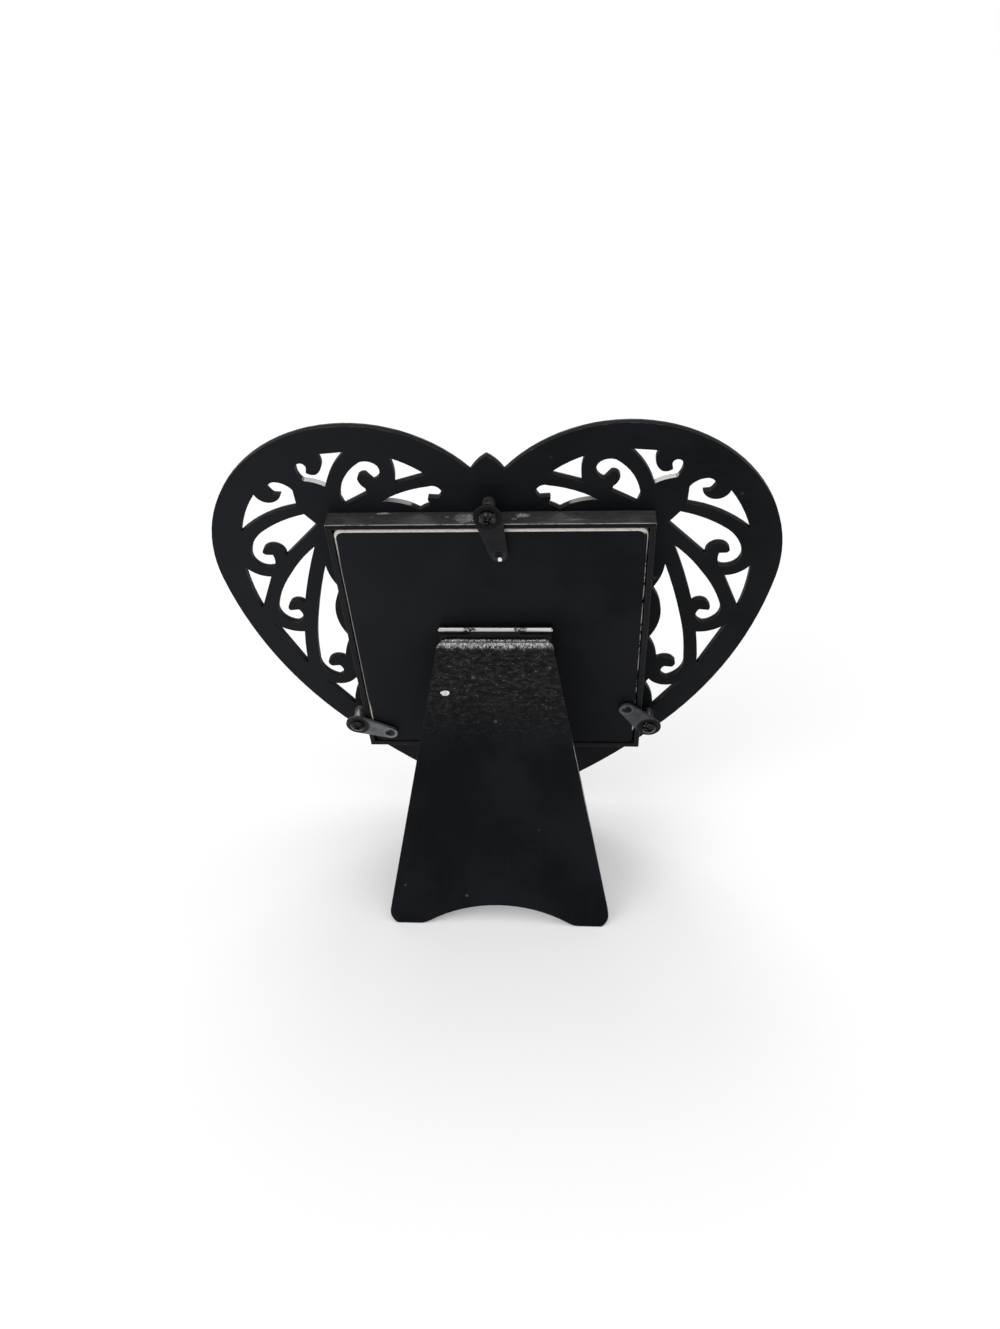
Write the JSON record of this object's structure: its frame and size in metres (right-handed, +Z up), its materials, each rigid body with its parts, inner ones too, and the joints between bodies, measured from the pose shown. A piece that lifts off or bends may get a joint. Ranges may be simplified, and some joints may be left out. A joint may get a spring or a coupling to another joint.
{
  "type": "heart shaped photo frame",
  "caption": "Free-standing heart shaped picture frame with a pierced scrollwork plate, a glazed picture box, turn buttons and a hinged easel leg.",
  "frame": {"origin": "centre of the underside of the part's box, on the table between the heart's tip and the leg's feet", "axes": "+X to the right seen from the front, +Y to the back where the leg stands, +Z up; the heart leans back by about 12 degrees"},
  "size_m": [0.249, 0.0958, 0.2369],
  "materials": {
    "painted_board": "satin black paint",
    "backing": "satin black face with bare cream edges",
    "glass": "clear",
    "paper": "matte",
    "cardboard": "matte",
    "button_metal": "dull grey metal",
    "post_metal": "dull",
    "black_screw": "glossy black",
    "hinge_metal": "bright plated"
  },
  "bodies": {
    "frame": {"heart_plate": "painted_board", "strip_top": "painted_board", "strip_bottom": "painted_board", "strip_left": "painted_board", "strip_right": "painted_board", "glass_pane": "glass", "photo_print": "paper", "filler_pad": "cardboard", "backing_board": "backing", "post_top": "post_metal", "post_left": "post_metal", "post_right": "post_metal", "button_screw_top": "black_screw", "button_screw_left": "black_screw", "button_screw_right": "black_screw", "hinge_leaf_board": "hinge_metal", "hinge_pin": "hinge_metal", "hinge_screws_board": "hinge_metal"},
    "leg": {"easel_leg": "painted_board", "hinge_leaf_leg": "hinge_metal", "hinge_screws_leg": "hinge_metal"},
    "button_top": {"turn_button_top": "button_metal"},
    "button_left": {"turn_button_left": "button_metal"},
    "button_right": {"turn_button_right": "button_metal"}
  },
  "joints": [
    {"name": "leg_fold", "type": "hinge", "parent": "frame", "child": "leg", "pos_m": [0, -0.00126, 0.1368], "axis": [-1, 0, 0], "range_deg": [0, 31]},
    {"name": "button_top_turn", "type": "hinge", "parent": "frame", "child": "button_top", "pos_m": [0, 0.01318, 0.19812], "axis": [0, 0.9727, -0.2322], "continuous": true},
    {"name": "button_left_turn", "type": "hinge", "parent": "frame", "child": "button_left", "pos_m": [0.07325, -0.01678, 0.07265], "axis": [0, 0.9727, -0.2322], "continuous": true},
    {"name": "button_right_turn", "type": "hinge", "parent": "frame", "child": "button_right", "pos_m": [-0.07325, -0.01678, 0.07265], "axis": [0, 0.9727, -0.2322], "continuous": true}
  ]
}
